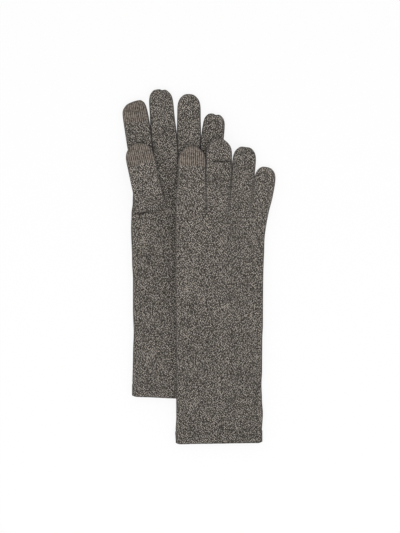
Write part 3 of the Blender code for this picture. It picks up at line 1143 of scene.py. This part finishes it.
@dataclass
class Glove:
    """One glove: its shells, cut into the pieces that the frame moves."""

    lay: Lay
    pile: Pile | None = None
    swell: float = 0.35 * MM
    ripple: float = 0.2 * MM
    # Painted shade over the fabric's sides and in a rim near its edge.
    side_painted_shade: float = 0.5
    rim_painted_shade: float = 0.45
    pieces: dict[str, bpy.types.Object] = field(default_factory=dict)

    def __post_init__(self) -> None:
        """Works out the glove's lines."""
        self.form = GloveForm(self.lay)
        self.name = self.lay.side.value

    def creases(self) -> list[Crease]:
        """Lists the lines pressed into the glove, each darkened with painted shade: below each web, and over one
        finger or at the thumb's base.
        """
        form = self.form
        found = []
        for number in range(1, len(form.fingers)):
            lean = (form.fingers[number - 1].lean + form.fingers[number].lean) / 2
            offset = form.offsets[number] - form.fingers[number].base_width / 2
            start = form.knuckle + sideways(self.lay.tilt) * offset
            # The web crease's painted shade follows the seam's painted shade at the base.
            dark = 0.33 * self.lay.lines[number - 1][0]
            found.append(Crease(start, start - heading(lean) * 12 * MM, 1.3 * MM, 1.0 * MM, dark))
        if self.lay.side is Side.RIGHT:
            across = sideways(form.fingers[1].lean)
            middle = form.finger_place(1, 52.0 * MM)
            found.append(Crease(middle - across * 6 * MM, middle + across * 12.5 * MM, 1.2 * MM, 0.9 * MM, 1.2, fade=0.0))
        else:
            lean = self.lay.thumb_lean
            start, end = (
                form.thumb_place(0) + sideways(lean) * x * MM + heading(lean) * y * MM for x, y in ((-17, 2.7), (5, 1.0))
            )
            found.append(Crease(start, end, 1.0 * MM, 0.6 * MM, 1.0, fade=0.5))
        return found

    def build(self) -> None:
        """Models, presses, lays and cuts the glove."""
        shell = HandShell(self.form)
        tube = shell.build(f"{self.name}_tube")
        self.press_hand(tube, shell)
        self.pieces.update(cut_up(tube))
        thumb = ThumbShell(self.form)
        pouch = thumb.build(f"{self.name}_pouch")
        self.press_thumb(pouch, thumb)
        self.pieces.update(cut_up(pouch))

    def swelling(self, place: Vector) -> float:
        """Gives how far the soft fabric sinks in at a place, as a negative height."""
        broad = noise.noise(place * 48 + Vector((3, 7, 1)))
        fine = noise.noise(place * 130 + Vector((9, 2, 5)))
        return self.swell * (broad - 0.6) + self.ripple * (fine - 0.6)

    def press_hand(self, tube: bpy.types.Object, shell: HandShell) -> None:
        """Presses creases, hem and fingertips into the flat tube, and lays it in its place.

        Args:
            tube: The rounded tube.
            shell: What it was modelled by.
        """
        form = self.form
        mesh = tube.data
        names = shell.regions()
        owners = ["hand"] * len(mesh.vertices)
        for face in mesh.polygons:
            if "_" in names[face.material_index]:
                for index in face.vertices:
                    owners[index] = names[face.material_index]
        creases = self.creases()
        places: list[Vector] = []
        knit: list[float] = []
        for vertex, owner in zip(mesh.vertices, owners):
            place, normal = vertex.co.copy(), vertex.normal.copy()
            across, along = shell.knit_place(place, owner)
            push = self.swelling(place) * normal.z**2
            # Painted edge shade, scaled by the seams' painted shade, less the painted light on the fingers.
            shade = self.painted_edge_shade(normal) * self.line(place, owner) - self.painted_finger_light(place, owner)
            # Each crease sinks the top and adds painted shade along its groove.
            if normal.z > 0.05:
                for crease in creases:
                    press = crease.press(place)
                    push -= crease.depth * press
                    shade += crease.shade * press
            # A groove at the hem's top with painted shade in it, and a line of painted shade along the mouth's edge.
            line = bell(place.y + form.cuff, 1.2 * MM)
            push += 0.3 * MM * smooth((-form.cuff - place.y) / (2.4 * MM)) - 0.3 * MM * line
            shade += 0.3 * line + 0.6 * bell(place.y - form.mouth, 1.3 * MM)
            shade += self.lay.cuff_shade * smooth(-place.y / (50 * MM))
            places.append(place + normal * push + self.tip_move(place, owner) + self.hem_move(place)
                          + self.edge_move(place, owner))
            knit += (across, along, shade)
        self.settle(tube, places, knit)

    def painted_edge_shade(self, normal: Vector) -> float:
        """Gives the painted shade where the fabric turns away from the top: over its sides, and in a dark rim near its
        edge.
        """
        return self.side_painted_shade * (1 - abs(normal.z)) ** 1.2 + self.rim_painted_shade * bell(abs(normal.z) - 0.55, 0.22)

    def line(self, place: Vector, owner: str) -> float:
        """Gives how strong the painted edge shade is at a place: set by the seam's painted shade where two fingers lie
        close, and painted light where that is below 0.
        """
        form = self.form
        number = form.finger_number(owner)
        if number is None:
            return 1.0
        along, across = form.on_finger(number, place)
        side = 1 if across > 0 else -1
        seam = min(number, number + side)
        if not 0 <= seam < len(self.lay.lines):
            return 1.0
        dark = mix(*self.lay.lines[seam], smooth((along - 10 * MM) / (28 * MM)))
        return mix(1.0, dark, form.touching(number, side, along))

    def painted_finger_light(self, place: Vector, owner: str) -> float:
        """Gives the painted light on a finger: how much paler it is painted than the hand."""
        number = self.form.finger_number(owner)
        if number is None:
            return 0.0
        along, _ = self.form.on_finger(number, place)
        return self.lay.painted_lights[number] * smooth(along / (20 * MM))

    def edge_move(self, place: Vector, owner: str) -> Vector:
        """Gives how a place near the outer edge of cuff and hand moves in or out."""
        share = smooth(2 * abs(place.x) / self.form.half_width(place.y) - 1)
        number = self.form.finger_number(owner)
        if number is not None:
            share *= 1 - smooth(self.form.on_finger(number, place)[0] / (15 * MM))
        knots = self.lay.right_edge if place.x > 0 else self.lay.left_edge
        return Vector((share * along_knots(knots, place.y), 0, 0))

    def hem_move(self, place: Vector) -> Vector:
        """Gives how a place near the mouth moves: the hem lies at a slant, with rounded corners."""
        form = self.form
        near = smooth((-form.cuff + 45 * MM - place.y) / (45 * MM))
        if not near:
            return Vector((0, 0, 0))
        half = form.cuff_width / 2
        rise = mix(*self.lay.hem_rise, min(1.0, max(0.0, 0.5 + place.x / (2 * half))))
        corner = max(0.0, abs(place.x) / half - 0.9) / 0.1
        near_end = smooth((form.mouth + 5 * MM - place.y) / (5 * MM))
        return Vector((0, rise * near + 1.6 * MM * corner**2 * near_end, 0))

    def tip_move(self, place: Vector, owner: str) -> Vector:
        """Gives how a place moves as its fingertip is drawn together."""
        number = self.form.finger_number(owner)
        if number is None:
            return Vector((0, 0, 0))
        finger = self.form.fingers[number]
        along, across = self.form.on_finger(number, place)
        half = finger.width / 2
        slant = finger.tip.slant * across / half * smooth((along - finger.length + half) / half)
        notch = finger.tip.notch * bell(across - finger.tip.notch_at, 2.0 * MM)
        notch *= smooth((along - finger.length + 7 * MM) / (7 * MM))
        return heading(finger.lean) * (slant - notch)

    def press_thumb(self, pouch: bpy.types.Object, shell: ThumbShell) -> None:
        """Lays the thumb on the palm, or flipped under it.

        Args:
            pouch: The rounded thumb, flat along +Y.
            shell: What it was modelled by.
        """
        form = self.form
        lean = self.lay.thumb_lean
        under = self.lay.side is Side.RIGHT
        palm = 2 * (THICKNESS + REST_GAP) + form.thumb.thickness - THICKNESS if under else THICKNESS
        places: list[Vector] = []
        knit: list[float] = []
        for vertex in pouch.data.vertices:
            place, normal = vertex.co.copy(), vertex.normal.copy()
            across, along = shell.knit_place(place)
            push = self.swelling(place + Vector((0.2, 0, 0))) * normal.z**2
            left = 1 - smooth((place.x + 6 * MM) / (16 * MM))
            rise = shell.rise(place)
            # Painted edge shade, and painted shade along the crease where the thumb leaves the palm.
            shade = self.painted_edge_shade(normal) + 0.95 * bell(shell.foot(place), 1.2 * MM) * left
            on_tip = smooth((place.y - form.thumb.length + form.thumb.touch) / (4 * MM))
            # Painted light on the thumb, weaker on its tip.
            shade -= self.lay.painted_lights[-1] * rise * (1 - 0.6 * on_tip)
            place += normal * push
            place.z = mix(0.45 * place.z - 3.4 * MM, place.z, rise)
            spot = form.thumb_place(0) + sideways(lean) * place.x + heading(lean) * place.y
            spot.z = palm - place.z if under else palm + place.z
            places.append(spot)
            knit += (across, along, shade)
        if under:
            pouch.data.flip_normals()
        self.settle(pouch, places, knit, on_pile=False)

    def settle(
        self, item: bpy.types.Object, places: Sequence[Vector], knit: Sequence[float], on_pile: bool = True
    ) -> None:
        """Puts a mesh's points in their places on the table, and notes the knitting.

        Args:
            item: The mesh.
            places: Its points from the glove's wrist.
            knit: Across, along and painted shade for each point.
            on_pile: Whether the fabric lies on the pile.
        """
        flat: list[float] = []
        for place in places:
            spot = place + self.form.origin
            if self.pile and on_pile:
                spot.z += self.pile.height(spot)
            flat.extend(spot)
        item.data.vertices.foreach_set("co", flat)
        attribute = item.data.attributes.new(KNIT, "FLOAT_VECTOR", "POINT")
        attribute.data.foreach_set("vector", knit)
        item.data.update()

    def finish(self, finishes: dict[Yarn, bpy.types.Material]) -> None:
        """Gives each piece its wall and finish, hides the part it stands for, and joins it to the frame.

        Args:
            finishes: The materials.
        """
        for region, piece in self.pieces.items():
            node = f"{self.name}_{region}"
            yarn = Yarn.TOUCH if region.endswith("touch_tip") else Yarn.HEM if region == "hem" else Yarn.MARL
            piece.name = f"{node}_fabric"
            piece.data.name = piece.name
            wall = HEM_WALL if region == "hem" else WALL
            apply_modifier(piece, "SOLIDIFY", thickness=wall, offset=-1.0, use_even_offset=True)
            make_active(piece)
            bpy.ops.object.shade_smooth_by_angle(angle=math.radians(50))
            piece.data.materials.append(finishes[yarn])
            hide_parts(node)
            self.join_frame(piece, region)
            LOG.info("%s: %d faces", piece.name, len(piece.data.polygons))

    def join_frame(self, piece: bpy.types.Object, region: str) -> None:
        """Makes a piece ride on its body, or leaves it where it lies with its transform applied.

        Args:
            piece: The piece.
            region: Its name without the glove's side.
        """
        name, form = self.name, self.form
        finger, _, part = region.partition("_")
        number = form.finger_number(region)
        right = self.lay.side is Side.RIGHT
        if region == "thumb":
            start, end = form.thumb_place(0), form.thumb_place(14 * MM)
            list(self.world(start, end))
            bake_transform(piece)
        elif finger == "thumb":
            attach(piece, f"{name}_thumb")
        elif number is None and not right:
            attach(piece, "left_glove")
        elif region == "cuff":
            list(self.world(Vector((0, 0, 0)), Vector((0, -24 * MM, 0))))
            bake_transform(piece)
        elif number is None:
            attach(piece, "right_cuff" if region == "hem" else "right_hand")
        elif part == "touch_tip":
            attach(piece, f"{name}_{finger}_end")
        elif part == "upper":
            fold = form.fingers[number].fold
            start, end = form.finger_place(number, fold), form.finger_place(number, fold + 13 * MM)
            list(self.world(start, end))
            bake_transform(piece)
        elif right:
            start, end = form.finger_place(number, 0), form.finger_place(number, 12 * MM)
            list(self.world(start, end))
            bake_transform(piece)
        else:
            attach(piece, "left_glove")

    def world(self, *places: Vector) -> list[Vector]:
        """Gives places on the glove in the frame."""
        return [place + self.form.origin for place in places]


@dataclass
class Studio:
    """A pale table under soft overhead light, seen from straight above."""

    lens: float = 150.0
    sensor: float = 36.0
    level: float = 0.012
    middle: tuple[float, float] = (0.6 * MM, 0.0)
    world_light: float = 0.88
    lamp_power: float = 4.5

    def build(self) -> None:
        """Sets table, light and camera."""
        self.table()
        self.light()
        self.camera()

    def white_to_camera(self, graph: Graph) -> Socket:
        """Gives 1 for rays that show the background, straight or in a gloss."""
        path = graph.node("ShaderNodeLightPath", {}, {})
        seen = graph.out(path, "Is Camera Ray") + graph.out(path, "Is Glossy Ray")
        return (seen + graph.out(path, "Is Transmission Ray")).at_most(1.0)

    def table(self) -> None:
        """Lays a white table that keeps a faint shadow."""
        bpy.ops.object.select_all(action="DESELECT")
        bpy.ops.mesh.primitive_plane_add(size=6, location=(0, 0, -0.2 * MM))
        floor = bpy.context.active_object
        floor.name = "table"
        graph = Graph("white table")
        dull = graph.node("ShaderNodeBsdfDiffuse", {}, {"Color": (0.86, 0.86, 0.86, 1)})
        glow = graph.node("ShaderNodeEmission", {}, {"Color": (1, 1, 1, 1), "Strength": 1.0})
        share = self.white_to_camera(graph) * 0.85
        both = graph.node("ShaderNodeMixShader", {}, {0: share, 1: dull.outputs[0], 2: glow.outputs[0]})
        graph.tree.links.new(both.outputs[0], graph.output.inputs["Surface"])
        floor.data.materials.append(graph.material)

    def light(self) -> None:
        """Sets an even white surround and one broad lamp above the table."""
        world = bpy.data.worlds.new("studio")
        bpy.context.scene.world = world
        world.use_nodes = True
        nodes, links = world.node_tree.nodes, world.node_tree.links
        nodes.clear()
        output = nodes.new("ShaderNodeOutputWorld")
        path = nodes.new("ShaderNodeLightPath")
        shine = nodes.new("ShaderNodeBackground")
        shine.inputs["Strength"].default_value = self.world_light
        plain = nodes.new("ShaderNodeBackground")
        plain.inputs["Color"].default_value = (1, 1, 1, 1)
        plain.inputs["Strength"].default_value = 1.0
        shine.inputs["Color"].default_value = (1, 1, 1, 1)
        both = nodes.new("ShaderNodeMixShader")
        links.new(path.outputs["Is Camera Ray"], both.inputs[0])
        links.new(shine.outputs[0], both.inputs[1])
        links.new(plain.outputs[0], both.inputs[2])
        links.new(both.outputs[0], output.inputs["Surface"])
        bpy.ops.object.select_all(action="DESELECT")
        bpy.ops.object.light_add(type="AREA", location=(0.0, -0.4, 1.1))
        lamp = bpy.context.active_object
        lamp.name = "overhead lamp"
        lamp.data.shape = "DISK"
        lamp.data.size = 1.0
        lamp.data.energy = self.lamp_power
        lamp.rotation_euler = (Vector((0, 0, 0)) - lamp.location).to_track_quat("-Z", "Y").to_euler()

    def camera(self) -> None:
        """Hangs the camera over the pair, with the photograph's frame."""
        span = max(PHOTO_SIZE) * PHOTO_SCALE
        height = self.lens * span / self.sensor + self.level
        bpy.ops.object.camera_add(location=(*self.middle, height), rotation=(0, 0, 0))
        camera = bpy.context.active_object
        camera.data.lens = self.lens
        camera.data.sensor_width = self.sensor
        camera.data.clip_end = 20
        bpy.context.scene.camera = camera


def plain(box: tuple[Vector, Vector]) -> list[list[float]]:
    """Turns a box into plain numbers."""
    return [list(corner) for corner in box]


def main() -> None:
    """Builds the pair and its setting."""
    logging.basicConfig(level=logging.INFO)
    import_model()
    scene = bpy.context.scene
    scene.view_settings.view_transform = "Standard"
    finishes = {yarn: finish.make() for yarn, finish in FINISHES.items()}
    left = Glove(LEFT_LAY)
    right = Glove(RIGHT_LAY)
    right.pile = Pile(left.form, right.form)
    for glove in (left, right):
        glove.build()
        glove.finish(finishes)
    Studio().build()


if __name__ == "__main__":
    main()
